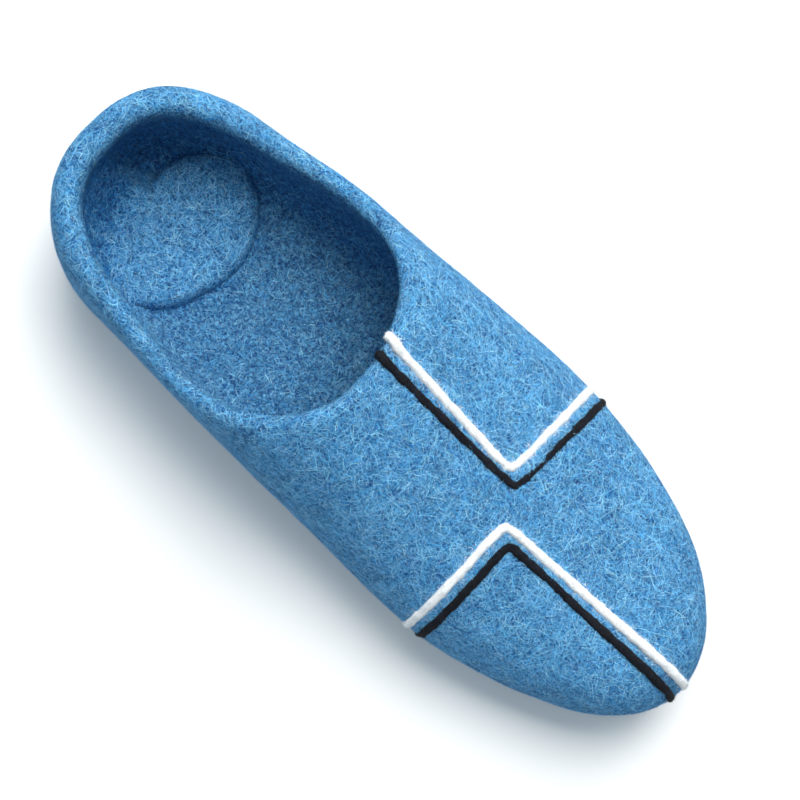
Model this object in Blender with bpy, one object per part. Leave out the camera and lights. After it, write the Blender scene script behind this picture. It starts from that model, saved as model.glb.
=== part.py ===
"""Felt slipper for a left foot: a hollow wet-felted upper over a thin suede sole.

Metres, +Y from heel to toe, +X to the inner side of the foot, +Z up, the sole's flats on z = 0.
The form is worked out with the heel at y = 0, and each object's points are then centred.
Run with blender --background --python part.py, or from Blender's text editor.
"""

import math

import bmesh
import bpy
from mathutils import Vector
from mathutils.bvhtree import BVHTree

# Sizes of the last, over the felt
LENGTH = 0.270
BALL_WIDTH = 0.101
HEEL_WIDTH = 0.084
INSTEP_HEIGHT = 0.062
WIDEST_HEIGHT = 0.020

# Topline: height at the heel, how far the sides dip below it, and where the throat ends
HEEL_HEIGHT = 0.048
SIDE_DIP = 0.004
THROAT = 0.465
THROAT_FOOT = 0.285

# Felt: wall, thicker round the heel, and how far its lower corner turns in, outside and inside
WALL = 0.0070
HEEL_WALL = 0.0095
CORNER = 0.012
INNER_CORNER = 0.008

# Sole
SOLE_THICKNESS = 0.0030
SOLE_INSET = 0.0090
SOLE_EDGE = 0.0008
ARCH_LIFT = 0.0018
TOE_SPRING = 0.0060

# Heel pad
PAD_THICKNESS = 0.0035
PAD_MARGIN = 0.0047
PAD_REAR = 0.0110
PAD_FRONT = 0.0645
PAD_SLANT = 0.06
PAD_SQUARENESS = 0.9

# Yarn stripes
STRIPE_WIDTH = 0.0030
STRIPE_HEIGHT = 0.0012
STRIPE_BEND = 0.0022
STRIPE_TUCK = math.radians(100)

# Clearance between pieces that touch
GAP = 0.0003

# How far the heel and the toe round off, as shares of the length
HEEL_ROUND = 0.16
TOE_ROUND = 0.33
HEEL_CROWN_ROUND = 0.065
TOE_CROWN_ROUND = 0.10

# A row for each section of the last. along: share of the length from the heel.
# inner, outer: half widths as shares of the local width. rise: crown over the widest line, as a
# share of the instep's rise. widest: height of the widest line as a share of WIDEST_HEIGHT.
# square: 2 is an ellipse, more is squarer. ridge: crown's shift inwards, as a share of inner.
SECTIONS = (
    # along, inner, outer, rise, widest, square, ridge
    (0.00, 0.505, 0.490, 1.03, 1.10, 2.7, 0.00),
    (0.15, 0.506, 0.490, 1.03, 1.10, 2.8, 0.00),
    (0.28, 0.509, 0.520, 1.17, 1.05, 3.4, 0.00),
    (0.41, 0.484, 0.509, 1.09, 1.00, 2.8, 0.05),
    (0.54, 0.468, 0.519, 0.85, 0.95, 2.35, 0.10),
    (0.63, 0.472, 0.527, 0.71, 0.90, 2.3, 0.12),
    (0.72, 0.473, 0.514, 0.62, 0.85, 2.3, 0.12),
    (0.81, 0.463, 0.509, 0.57, 0.78, 2.3, 0.10),
    (0.90, 0.466, 0.508, 0.56, 0.70, 2.3, 0.06),
    (1.00, 0.490, 0.490, 0.58, 0.64, 2.2, 0.00),
)

# Where the local width passes from the heel's to the ball's
WIDEN_FROM = 0.15
WIDEN_TO = 0.60

# Where the wall passes from the heel's thickness to the rest's, as shares of the length
THIN_FROM = 0.04
THIN_TO = 0.30

# The sole's flats and its lifted stretches, as shares of the length
ARCH_FROM = 0.30
ARCH_TO = 0.54
SPRING_FROM = 0.76

# Yarn stripes. The long leg runs along the foot from the throat or the toe to the corner, at a
# place across the foot given as a share of half the ball width, inner side above 0. The short
# leg runs from the corner over the side, at a share of the length. side: 1 inner, -1 outer.
STRIPES = (
    # name, colour, starts at, across there, across at corner, along at corner, at edge, side
    ("stripe_white_instep", "white", "throat", -0.254, -0.210, 0.652, 0.667, -1),
    ("stripe_black_instep", "black", "throat", -0.138, -0.148, 0.671, 0.690, -1),
    ("stripe_white_toe", "white", "toe", 0.000, 0.055, 0.689, 0.693, 1),
    ("stripe_black_toe", "black", "toe", 0.118, 0.130, 0.709, 0.714, 1),
)

# Cross-section of the heel pad's edge: share of the pad's thickness drawn in, share of its height
PAD_EDGE = ((1.3, 0), (0.5, 0.35), (0, 0.6), (0.35, 0.85), (1.15, 1))

# Cross-section of a stripe: share of its half width, share of its height
CORD = ((1, 0), (-1, 0), (-0.96, 0.5), (-0.6, 0.9), (0, 1), (0.6, 0.9), (0.96, 0.5))

COLOURS = {
    "felt": ((0.055, 0.255, 0.610), 0.95),
    "pad": ((0.060, 0.270, 0.630), 0.95),
    "suede": ((0.105, 0.085, 0.070), 0.90),
    "white": ((0.830, 0.840, 0.850), 0.95),
    "black": ((0.012, 0.013, 0.018), 0.95),
}

# How the upper's columns lean on the vamp, and where along the length they leave the straight
# lines of the heel and come to those of the toe
COLUMN_SWING = 0.6
HEEL_PLAN_FROM = 0.03
HEEL_PLAN_TO = 0.13
TOE_PLAN_FROM = 0.50
TOE_PLAN_TO = 0.85

# Mesh density
COLUMNS = 84
CORNER_ROWS = 4
WALL_ROWS = 14
RIM_ROWS = 4
BOTTOM_STEPS = 4
PAD_COLUMNS = 40
PAD_STEPS = 6
STRIPE_STEP = 0.006
STRIPE_TURN = math.radians(14)
GUIDE_STEP = 0.001
LEG_STEPS = 24
CORNER_STEPS = 8


def clear_scene():
    for item in list(bpy.data.objects):
        bpy.data.objects.remove(item)


def material(name):
    colour, roughness = COLOURS[name]
    made = bpy.data.materials.new(name)
    made.use_nodes = True
    shader = made.node_tree.nodes["Principled BSDF"]
    shader.inputs["Base Color"].default_value = (*colour, 1.0)
    shader.inputs["Roughness"].default_value = roughness
    shader.inputs["Metallic"].default_value = 0.0
    made.diffuse_color = (*colour, 1.0)
    return made


def clamp(value, low=0.0, high=1.0):
    return max(low, min(high, value))


def ease(value):
    """0 to 1, level at both ends."""
    value = clamp(value)
    return value * value * (3 - 2 * value)


def smooth_row(rows, along):
    """The rows' values at along, on a smooth curve through them."""
    along = clamp(along, rows[0][0], rows[-1][0])
    last = len(rows) - 1
    i = max(k for k in range(last) if rows[k][0] <= along + 1e-12)
    start, end = rows[i], rows[i + 1]
    before, after = rows[max(i - 1, 0)], rows[min(i + 2, last)]
    span = end[0] - start[0]
    s = (along - start[0]) / span
    found = []
    for k in range(1, len(start)):
        slope_a = (end[k] - before[k]) / (end[0] - before[0]) * span
        slope_b = (after[k] - start[k]) / (after[0] - start[0]) * span
        found.append(
            (2 * s**3 - 3 * s**2 + 1) * start[k]
            + (s**3 - 2 * s**2 + s) * slope_a
            + (3 * s**2 - 2 * s**3) * end[k]
            + (s**3 - s**2) * slope_b
        )
    return found


def round_off(along, heel, toe):
    """Quarter ellipses that close the form at the heel and at the toe."""
    back = math.sqrt(1 - (1 - clamp(along / heel)) ** 2)
    front = math.sqrt(1 - (1 - clamp((1 - along) / toe)) ** 2)
    return back * front


def section(along):
    """Half widths, ridge, rise, height of the widest line and squareness at a share of length."""
    inner, outer, rise, widest, square, ridge = smooth_row(SECTIONS, along)
    width = HEEL_WIDTH + (BALL_WIDTH - HEEL_WIDTH) * ease(
        (along - WIDEN_FROM) / (WIDEN_TO - WIDEN_FROM)
    )
    width *= round_off(along, HEEL_ROUND, TOE_ROUND)
    rise *= (INSTEP_HEIGHT - WIDEST_HEIGHT) * round_off(along, HEEL_CROWN_ROUND, TOE_CROWN_ROUND)
    return width * inner, width * outer, width * inner * ridge, rise, widest * WIDEST_HEIGHT, square


def base(along):
    """Height of the sole's underside: flat at heel and ball, lifted at the arch and the toe."""
    arch = math.sin(math.pi * clamp((along - ARCH_FROM) / (ARCH_TO - ARCH_FROM))) ** 2
    spring = clamp((along - SPRING_FROM) / (1 - SPRING_FROM)) ** 2
    return ARCH_LIFT * arch + TOE_SPRING * spring


def felt_floor(along):
    return base(along) + SOLE_THICKNESS + GAP


def power(value, exponent):
    return math.copysign(abs(value) ** exponent, value)


def over(along, turn):
    """A point on the upper's form. turn: 0 at the inner widest line, 1 over the crown, 2 outside."""
    inner, outer, ridge, rise, widest, square = section(along)
    angle = turn * math.pi / 2
    across = power(math.cos(angle), 2 / square)
    reach = inner - ridge if across > 0 else outer + ridge
    height = widest + rise * abs(math.sin(angle)) ** (2 / square)
    return Vector((ridge + reach * across, along * LENGTH, felt_floor(along) + height))


def turn_at(along, across):
    """The turn at which the form passes a place across the foot."""
    inner, outer, ridge, _, _, square = section(along)
    reach = inner - ridge if across > ridge else outer + ridge
    if reach < 1e-7:
        return 1.0
    share = clamp((across - ridge) / reach, -1, 1)
    return math.acos(power(share, square / 2)) / (math.pi / 2)


def crown(along):
    _, _, _, rise, widest, _ = section(along)
    return widest + rise


def topline(along):
    """Height of the collar over the felt's underside."""
    sides = HEEL_HEIGHT - SIDE_DIP * ease(along / THROAT_FOOT)
    climb = ease((along - THROAT_FOOT) / (THROAT - THROAT_FOOT))
    return sides + (crown(THROAT) - sides) * climb


def heel_end():
    """Share of the length at which the back of the form reaches the topline."""
    low, high = 0.0, HEEL_CROWN_ROUND
    for _ in range(40):
        middle = (low + high) / 2
        if crown(middle) < topline(middle):
            low = middle
        else:
            high = middle
    return high


def outline(angle, inset=0.0):
    """A point of the widest line, moved in by inset. angle: 0 at the heel, pi at the toe tip."""

    def place(a):
        along = (1 - math.cos(a)) / 2
        inner, outer, _, _, _, _ = section(along)
        return Vector((inner if math.sin(a) >= 0 else -outer, along * LENGTH, 0))

    step = 0.01
    tangent = (place(angle + step) - place(angle - step)).normalized()
    return place(angle) - Vector((tangent.y, -tangent.x, 0)) * inset


def column_path(angle, back, rows):
    """Points up the felt's outside from the widest line to the collar, for one column."""
    side = 1 if math.sin(angle) >= 0 else -1
    half = angle if angle <= math.pi else 2 * math.pi - angle
    start = (1 - math.cos(half)) / 2
    # The columns lean back on the vamp, so that they meet the throat evenly.
    swung = half + COLUMN_SWING * math.sin(half)
    end = back + (THROAT - back) * (1 - math.cos(swung)) / 2
    _, _, _, rise, widest, square = section(end)
    share = clamp((topline(end) - widest) / max(rise, 1e-9))
    end_turn = math.asin(clamp(share ** (square / 2))) / (math.pi / 2)
    at_tip = min(half, math.pi - half) < 1e-6
    end_turn = 1.0 if at_tip else end_turn
    end_turn = end_turn if side > 0 else 2 - end_turn
    start_turn = 1.0 if at_tip else (0.0 if side > 0 else 2.0)
    first = over(start, start_turn)
    final = over(end, end_turn)
    # Straight in plan at heel and toe, straight in turn on the side walls.
    heel_share = ease((start - HEEL_PLAN_FROM) / (HEEL_PLAN_TO - HEEL_PLAN_FROM))
    toe_share = ease((start - TOE_PLAN_FROM) / (TOE_PLAN_TO - TOE_PLAN_FROM))
    plan = max(1 - heel_share, toe_share)
    points = []
    for row in range(rows + 1):
        q = row / rows
        sweep = 1 - math.cos(q * math.pi / 2)
        along = start + (end - start) * sweep
        by_turn = start_turn + (end_turn - start_turn) * q
        by_plan = turn_at(along, first.x + (final.x - first.x) * sweep)
        turn = by_turn + (by_plan - by_turn) * plan
        if row == 0:
            turn = start_turn
        if row == rows:
            turn = end_turn
        points.append(over(along, turn))
    return points


def lower_corner(angle, share, inset=0.0, depth=CORNER, floor=0.0):
    """A point of the felt's lower corner. share: 0 at its foot, 1 at the widest line."""
    widest = section((1 - math.cos(angle)) / 2)[4]
    turn = share * math.pi / 2
    point = outline(angle, inset + depth * (1 - math.sin(turn)))
    height = floor + (widest - floor) * (1 - math.cos(turn))
    point.z = felt_floor(point.y / LENGTH) + height
    return point


def ring_angles(columns):
    return [2 * math.pi * k / columns for k in range(columns)]


def outer_rings(columns, corner_rows, wall_rows):
    """Rings of the felt's outside, from the edge of its underside to the collar."""
    angles = ring_angles(columns)
    rings = [[lower_corner(a, row / corner_rows) for a in angles] for row in range(corner_rows)]
    back = heel_end()
    paths = [column_path(a, back, wall_rows) for a in angles]
    rings += [[path[row] for path in paths] for row in range(wall_rows + 1)]
    return rings


def normals(rings, row):
    """Outward directions along one ring, from its neighbours."""
    below, above = rings[max(row - 1, 0)], rings[min(row + 1, len(rings) - 1)]
    ring = rings[row]
    count = len(ring)
    found = []
    for k in range(count):
        along_ring = ring[(k + 1) % count] - ring[k - 1]
        found.append(along_ring.cross(above[k] - below[k]).normalized())
    return found


def wall(along):
    """The felt's thickness at a share of the length."""
    share = ease((along - THIN_FROM) / (THIN_TO - THIN_FROM))
    return HEEL_WALL + (WALL - HEEL_WALL) * share


def felt_rings(columns, corner_rows, wall_rows, rim_rows):
    """All rings of the upper: outside, rounded rim, inside."""
    outside = outer_rings(columns, corner_rows, wall_rows)
    top = len(outside) - 1
    out = normals(outside, top)
    walls = [wall(outline(angle).y / LENGTH) for angle in ring_angles(columns)]
    rim = [[] for _ in range(rim_rows - 1)]
    for k in range(columns):
        edge = outside[top][k]
        along_edge = outside[top][(k + 1) % columns] - outside[top][k - 1]
        onward = out[k].cross(along_edge).normalized()
        if onward.dot(edge - outside[top - 1][k]) < 0:
            onward.negate()
        centre = edge - out[k] * (walls[k] / 2)
        for step in range(1, rim_rows):
            angle = math.pi * step / rim_rows
            way = out[k] * math.cos(angle) + onward * math.sin(angle)
            rim[step - 1].append(centre + way * (walls[k] / 2))
    inside = []
    for row in range(top, corner_rows, -1):
        ways = normals(outside, row)
        inside.append([p - n * w for p, n, w in zip(outside[row], ways, walls)])
    for row in range(corner_rows, -1, -1):
        share = row / corner_rows
        ring = []
        for angle, thick in zip(ring_angles(columns), walls):
            ring.append(lower_corner(angle, share, thick, INNER_CORNER, WALL))
        inside.append(ring)
    return outside + rim + inside


def body(name, rings, steps, paint):
    """A closed solid through rings, with both ends closed by rows laid straight across."""
    count = len(rings[0])
    half = count // 2
    points = [p for ring in rings for p in ring]
    faces = []
    for r in range(len(rings) - 1):
        for k in range(count):
            after = (k + 1) % count
            low, high = r * count, (r + 1) * count
            faces.append((low + k, low + after, high + after, high + k))
    for start, ring in ((0, rings[0]), ((len(rings) - 1) * count, rings[-1])):
        rows = []
        for j in range(1, half):
            a, b = ring[j], ring[count - j]
            row = [start + j]
            for step in range(1, steps):
                row.append(len(points))
                points.append(a.lerp(b, step / steps))
            row.append(start + count - j)
            rows.append(row)
        for row, following in zip(rows, rows[1:]):
            for i in range(steps):
                faces.append((row[i], row[i + 1], following[i + 1], following[i]))
        for tip, row in ((start, rows[0]), (start + half, rows[-1])):
            for i in range(steps):
                faces.append((tip, row[i], row[i + 1]))
    return solid(name, points, faces, paint)


def centring():
    """The move that puts the middle of the outline's box over the origin."""
    places = [outline(angle) for angle in ring_angles(COLUMNS)]
    across = [place.x for place in places]
    return Vector((-(min(across) + max(across)) / 2, -LENGTH / 2, 0))


def solid(name, points, faces, paint):
    """An object from points and faces, facing out, with its material."""
    mesh = bpy.data.meshes.new(name)
    move = centring()
    mesh.from_pydata([tuple(p + move) for p in points], [], faces)
    form = bmesh.new()
    form.from_mesh(mesh)
    bmesh.ops.recalc_face_normals(form, faces=form.faces)
    if form.calc_volume(signed=True) < 0:
        bmesh.ops.reverse_faces(form, faces=form.faces)
    form.to_mesh(mesh)
    form.free()
    mesh.materials.append(paint)
    made = bpy.data.objects.new(name, mesh)
    bpy.context.scene.collection.objects.link(made)
    mesh.shade_smooth()
    mesh.set_sharp_from_angle(angle=math.radians(50))
    return made


def build_upper(paint):
    rings = felt_rings(COLUMNS, CORNER_ROWS, WALL_ROWS, RIM_ROWS)
    return body("upper", rings, BOTTOM_STEPS, paint)


def build_sole(paint):
    """A flat sheet bent to the sole's underside, with its top edge eased."""
    profile = (
        # inset beyond the sole's own, height
        (SOLE_EDGE, 0),
        (0, SOLE_EDGE),
        (0, SOLE_THICKNESS - SOLE_EDGE),
        (SOLE_EDGE, SOLE_THICKNESS),
    )
    rings = []
    for inset, height in profile:
        ring = [outline(angle, SOLE_INSET + inset) for angle in ring_angles(COLUMNS)]
        for point in ring:
            point.z = base(point.y / LENGTH) + height
        rings.append(ring)
    return body("sole", rings, BOTTOM_STEPS, paint)


def build_heel_pad(paint):
    """A round cushion that fills the heel, its front edge slanting with the foot."""
    half_width = HEEL_WIDTH / 2 - HEEL_WALL - PAD_MARGIN
    rear = HEEL_WALL + PAD_REAR
    half_length = (PAD_FRONT - rear) / 2
    middle = (PAD_FRONT + rear) / 2
    rings = []
    for drawn_in, share in PAD_EDGE:
        inset = drawn_in * PAD_THICKNESS
        ring = []
        for angle in ring_angles(PAD_COLUMNS):
            across = power(math.sin(angle), PAD_SQUARENESS) * (half_width - inset)
            forward = -power(math.cos(angle), PAD_SQUARENESS) * (half_length - inset)
            slant = PAD_SLANT * across * ease(forward / half_length)
            place = middle + forward + slant
            height = felt_floor(place / LENGTH) + WALL + GAP + PAD_THICKNESS * share
            ring.append(Vector((across, place, height)))
        rings.append(ring)
    return body("heel_pad", rings, PAD_STEPS, paint)


def fine_skin():
    """The felt's surface at a fine step, on which the stripes are laid."""
    columns = 4 * COLUMNS
    rings = felt_rings(columns, 4 * CORNER_ROWS, 4 * WALL_ROWS, 4 * RIM_ROWS)
    points = [p for ring in rings for p in ring]
    faces = []
    for r in range(len(rings) - 1):
        for k in range(columns):
            after = (k + 1) % columns
            low, high = r * columns, (r + 1) * columns
            faces.append((low + k, low + after, high + after, high + k))
    return BVHTree.FromPolygons(points, faces)


def evenly(points, step):
    """The same polyline with its points at an even step."""
    lengths = [0.0]
    for a, b in zip(points, points[1:]):
        lengths.append(lengths[-1] + (b - a).length)
    count = max(2, round(lengths[-1] / step))
    found = []
    k = 0
    for i in range(count + 1):
        wanted = lengths[-1] * i / count
        while k < len(points) - 2 and lengths[k + 1] < wanted:
            k += 1
        share = (wanted - lengths[k]) / max(lengths[k + 1] - lengths[k], 1e-12)
        found.append(points[k].lerp(points[k + 1], clamp(share)))
    return found


def soften(points, reach, step):
    """Rounds the corners of an even polyline. Each pass widens the rounding a little."""
    for _ in range(round(2 * (reach / step) ** 2)):
        middle = [(a + 2 * b + c) / 4 for a, b, c in zip(points, points[1:], points[2:])]
        points = [points[0]] + middle + [points[-1]]
    return points


def edge_angle(along, side):
    """The outline's angle at a share of the length, on one side."""
    half = math.acos(1 - 2 * along)
    return half if side > 0 else 2 * math.pi - half


def toe_angle(across):
    """The outline's angle where its toe passes a place across the foot."""
    low, high = math.pi / 2, math.pi
    for _ in range(40):
        middle = (low + high) / 2
        if outline(middle).x > abs(across):
            low = middle
        else:
            high = middle
    return high if across >= 0 else 2 * math.pi - high


def throat_share(across):
    """Share of the length at which the topline passes a place across the foot, at the throat."""
    low, high = THROAT_FOOT, THROAT
    for _ in range(40):
        middle = (low + high) / 2
        height = over(middle, turn_at(middle, across)).z - felt_floor(middle)
        if height > topline(middle):
            low = middle
        else:
            high = middle
    return high


def long_leg(start, across_start, across_corner, corner, skin):
    """Guide points from the stripe's start to its corner."""
    points = []
    if start == "throat":
        first = throat_share(across_start)
        edge = over(first, turn_at(first, across_start))
        out = skin.find_nearest(edge)[1]
        onward = Vector((0, -1, 0)) - out * -out.y
        onward.normalize()
        centre = edge - out * (WALL / 2)
        for i in range(CORNER_STEPS):
            angle = STRIPE_TUCK * (1 - i / CORNER_STEPS)
            points.append(centre + (out * math.cos(angle) + onward * math.sin(angle)) * WALL)
        begin = edge
    else:
        angle = toe_angle(across_start)
        points += [lower_corner(angle, i / CORNER_STEPS) for i in range(1, CORNER_STEPS)]
        begin = outline(angle)
    for i in range(LEG_STEPS + 1):
        share = i / LEG_STEPS
        if start == "toe":
            share = 1 - math.cos(share * math.pi / 2)
        along = begin.y / LENGTH + (corner - begin.y / LENGTH) * share
        across = begin.x + (across_corner - begin.x) * share
        points.append(over(along, turn_at(along, across)))
    return points


def short_leg(across_corner, corner, edge, side):
    """Guide points from the stripe's corner over the side and down to the felt's lower corner."""
    first = turn_at(corner, across_corner)
    final = 0.0 if side > 0 else 2.0
    points = []
    for i in range(1, LEG_STEPS + 1):
        share = i / LEG_STEPS
        points.append(over(corner + (edge - corner) * share, first + (final - first) * share))
    angle = edge_angle(edge, side)
    points += [lower_corner(angle, 1 - i / CORNER_STEPS) for i in range(1, CORNER_STEPS)]
    return points


def build_stripe(row, skin, paint):
    """A raised, rounded cord laid on the felt along its two legs."""
    name, _, start, across_start, across_corner, corner, edge, side = row
    across_start *= BALL_WIDTH / 2
    across_corner *= BALL_WIDTH / 2
    guide = long_leg(start, across_start, across_corner, corner, skin)
    guide += short_leg(across_corner, corner, edge, side)
    guide = soften(evenly(guide, GUIDE_STEP), STRIPE_BEND, GUIDE_STEP)
    found = [skin.find_nearest(point)[:2] for point in guide]
    places = [place for place, _ in found]
    ways = soften([normal for _, normal in found], GUIDE_STEP, GUIDE_STEP)
    stations = []
    kept, kept_way, kept_ahead = None, None, None
    for i in range(1, len(places) - 1):
        ahead = (places[i + 1] - places[i - 1]).normalized()
        out = (ways[i] - ahead * ways[i].dot(ahead)).normalized()
        far = kept is None or (places[i] - kept).length > STRIPE_STEP
        turned = not far and max(out.angle(kept_way), ahead.angle(kept_ahead)) > STRIPE_TURN
        if far or turned or i == len(places) - 2:
            stations.append((places[i], ahead, out))
            kept, kept_way, kept_ahead = places[i], out, ahead
    points = []
    for place, ahead, out in stations:
        aside = ahead.cross(out)
        for share, height in CORD:
            lift = out * (GAP + STRIPE_HEIGHT * height)
            points.append(place + aside * (share * STRIPE_WIDTH / 2) + lift)
    size = len(CORD)
    faces = [tuple(range(size)), tuple(range(len(points) - size, len(points)))]
    for i in range(len(stations) - 1):
        for k in range(size):
            after = (k + 1) % size
            low, high = i * size, (i + 1) * size
            faces.append((low + k, low + after, high + after, high + k))
    return solid(name, points, faces, paint)


def main():
    clear_scene()
    paints = {name: material(name) for name in COLOURS}
    build_upper(paints["felt"])
    build_sole(paints["suede"])
    build_heel_pad(paints["pad"])
    skin = fine_skin()
    for row in STRIPES:
        build_stripe(row, skin, paints[row[1]])


main()
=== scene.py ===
"""The felt slipper's looks: felt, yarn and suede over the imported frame.

Metres, in the frame's axes: +Y from heel to toe, +X to the inner side of the foot, +Z up.
"""

import math
from collections import namedtuple

import bmesh
import bpy
import numpy as np
from mathutils import Matrix, Vector, noise
from mathutils.bvhtree import BVHTree


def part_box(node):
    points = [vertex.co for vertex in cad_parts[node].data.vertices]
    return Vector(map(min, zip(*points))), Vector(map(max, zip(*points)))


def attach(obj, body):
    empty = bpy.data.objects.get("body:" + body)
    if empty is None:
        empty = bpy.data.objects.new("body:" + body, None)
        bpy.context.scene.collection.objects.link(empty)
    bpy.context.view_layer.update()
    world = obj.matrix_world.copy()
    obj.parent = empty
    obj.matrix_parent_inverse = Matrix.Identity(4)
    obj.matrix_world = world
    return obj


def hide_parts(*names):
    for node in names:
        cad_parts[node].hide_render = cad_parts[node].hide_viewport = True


MM = 0.001
TINY = 1e-9
UP = Vector((0, 0, 1))

# The photo's camera over the slipper, in the frame's axes, and how the picture is turned
CAMERA_PLACE = Vector((0.048, -0.004, 0.520))
CAMERA_AIM = Vector((-0.0035, 0.000, 0.020))
PICTURE_UP = Vector((-0.735, -0.678, 0.0))
LENS = 67.0
CLIP_START = 10 * MM

# Lamps: name, place up and right in the picture and over the floor, side, watts and colour
LAMPS = (
    ("window", (0.60, 0.20, 0.95), 0.9, 22.0, (1.0, 0.965, 0.92)),
    ("fill", (-0.20, -0.90, 1.10), 1.0, 2.0, (1.0, 1.0, 1.0)),
)
SKY = (0.74, 0.91, 1.0, 1)
SKY_STRENGTH = 0.48
FLOOR = (0.86, 0.86, 0.865)
FLOOR_REACH = 3

# Linear colours
FELT_BASE = (0.032, 0.265, 0.610)
FELT_DARK = (0.004, 0.070, 0.300)
FELT_LIGHT = (0.135, 0.480, 0.850)
FELT_HAIR = (0.310, 0.650, 0.970)
FELT_SHEEN = (0.55, 0.78, 1.0)
PAD_BASE = (0.026, 0.235, 0.570)
# Painted shade: the felt's colour is multiplied by this where shade falls, inside the heel, up the
# pad's hollow and along its crease
PAINTED_SHADE_TINT = (0.28, 0.69, 0.93)
WHITE = (0.95, 0.96, 0.97)
WHITE_SHADE = (0.78, 0.82, 0.87)
BLACK = (0.004, 0.005, 0.008)
BLACK_SHADE = (0.016, 0.018, 0.026)
SUEDE = (0.120, 0.095, 0.078)
SUEDE_DARK = (0.045, 0.035, 0.030)
THREAD_COLOUR = (0.30, 0.26, 0.21)

# Joining a CAD node's triangles to broad faces: points this near, and angles up to these
WELD = 0.01 * MM
JOIN_FACES = math.radians(40)
JOIN_SHAPES = math.radians(60)

# Unevenness of felt, yarn and suede: height and size in millimetres, and a seed
FELT_HOLLOWS = ((0.34, 34, 1), (0.20, 13, 2))
FELT_TUFTS = ((0.10, 5, 3), (0.05, 2.4, 4))
YARN_LUMPS = ((0.34, 3.6, 5), (0.22, 1.3, 6))
SUEDE_GRAIN = ((0.05, 3, 7),)

# Painted shade darkens the felt's colour on the walls inside: the middle and reach of the foot's
# room there
INSIDE_MIDDLE = np.array((0.002, -0.060, 0.0))
INSIDE_REACH = 14 * MM
# The painted shade sets in between these heights, just under the collar
RIM_FROM, RIM_TO = 44 * MM, 34 * MM
# How strong the painted shade is, and behind which y or past which x it sets in, and over which way
WALL_SHADE = 0.75
SHADE_HEEL, SHADE_SIDE, SHADE_FADE = -80 * MM, 12 * MM, 20 * MM
# Faces of the felt bottom, round the pad, that take painted shade along the pad's crease: how far
# they look up, and between which heights
FLOOR_FACING = 0.4
FLOOR_FROM, FLOOR_TO = 5 * MM, 18 * MM

# The heel pad's middle, and its edge: angle from the toe towards the inner side, reach in mm
PAD_MIDDLE = (-2.0 * MM, -97.0 * MM)
PAD_EDGE = (
    (-176, 16.5),
    (-156, 18.0),
    (-139, 19.5),
    (-120, 21.5),
    (-104, 23.8),
    (-92, 25.5),
    (-82, 25.8),
    (-65, 25.0),
    (-42, 24.6),
    (-22, 24.6),
    (-2, 25.6),
    (16, 26.3),
    (38, 28.8),
    (54, 33.0),
    (68, 36.0),
)
# The hollow between the pad and the wall: angle, where it starts and how high it climbs, in mm
PAD_HOLLOW = (
    (60, 40.0, 6.0),
    (78, 38.0, 8.0),
    (100, 26.0, 15.0),
    (120, 18.0, 21.0),
    (140, 13.5, 24.0),
    (160, 11.5, 25.0),
    (180, 13.0, 24.0),
    (200, 18.0, 20.0),
    (230, 26.0, 12.0),
)
# Degrees over which the free lip turns into the hollow, behind its first and past its last angle
PAD_FADE = 26
PAD_FRONT_FADE = 12
# The pad's points: columns round its middle, rings on the pad and rings up the wall
PAD_COLUMNS, PAD_RINGS, WALL_RINGS = 128, 34, 16
PAD_CROWN = 0.8 * MM
PAD_LIP = 4.0 * MM
PAD_SUNK = 0.9 * MM
PAD_UNDERSIDE = 0.5 * MM
# The wall is met this far over the pad, the hollow starts this far from it and ends this far in it
WALL_LEVEL = 3 * MM
WALL_GAP = 2 * MM
INTO_WALL = 1.0 * MM
# The pad's hidden edge goes this far past its lip, inside the felt, and less far from the hollow
PAD_SKIRT = 11 * MM
PAD_SKIRT_LEAST = 2 * MM
PAD_RELIEF = 1.3
# Painted shade: how much lies over the whole pad, the way over which more of it sets in up the
# hollow, and the width of the painted shade along the crease
PAD_SHADE = 0.20
HOLLOW_SHADE_FADE = 6 * MM
CREASE_SHADE_WIDTH = 2.4 * MM

# Yarn stripes: how far they sink into the felt, up to which distance, and how they swell, in mm
STRIPE_SUNK = 1.0 * MM
STRIPE_REACH = 3.2 * MM
WHITE_PLUMP = 0.14
BLACK_PLUMP = 0.06

# Whip stitches round the sole, each a path of places outward, up and along, in mm
STITCH_STEP = 5.5 * MM
STITCH_PATH = (
    (-0.90, -1.15, -0.9),
    (0.15, -0.85, -0.6),
    (0.30, 0.00, -0.1),
    (0.25, 1.10, 0.5),
    (0.10, 2.20, 1.1),
    (0.30, 3.20, 1.5),
)
THREAD_RADIUS = 0.32 * MM
THREAD_SIDES = 7
THREAD_END = 0.55
# The sole's edge is where its faces look up or down less than this, and is read in this many parts
EDGE_FACING = 0.30
EDGE_PARTS = 720
# A direction that no stitch runs along
ASKEW = Vector((0.21, 0.13, 1))

OUTSIDE_FIBRES = 72000
OUTSIDE_PIECES = 3
INSIDE_FIBRES = 22000
PAD_FIBRES = 8000
STRIPE_FIBRES = 3000
BESIDE_FIBRES = 1500
FIBRE_SEED = 7
# Their kinds: length, curl in radians, how high they lie, how far their ends rise, and their steps
Fibre = namedtuple("Fibre", "length curl lie rise most_rise steps")
LONG = Fibre((1.5 * MM, 7.0 * MM), 0.4, (0.02 * MM, 0.25 * MM), 0.12 * MM, 1.2 * MM, 3)
SHORT = Fibre((1.2 * MM, 4.5 * MM), 0.6, (0.02 * MM, 0.25 * MM), 0.12 * MM, 1.2 * MM, 3)
YARN = Fibre((1.5 * MM, 4.0 * MM), 1.4, (0.00 * MM, 0.20 * MM), 0.15 * MM, 0.8 * MM, 4)
BESIDE = Fibre((1.5 * MM, 4.0 * MM), 1.2, (0.05 * MM, 0.25 * MM), 0.15 * MM, 0.8 * MM, 4)
FIBRE_WIDTH = (0.045 * MM, 0.115 * MM)
FIBRE_TIP = 0.25
FIBRE_WANDER = 0.5
FIBRE_BRIGHTNESS = (0.65, 1.35)
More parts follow.
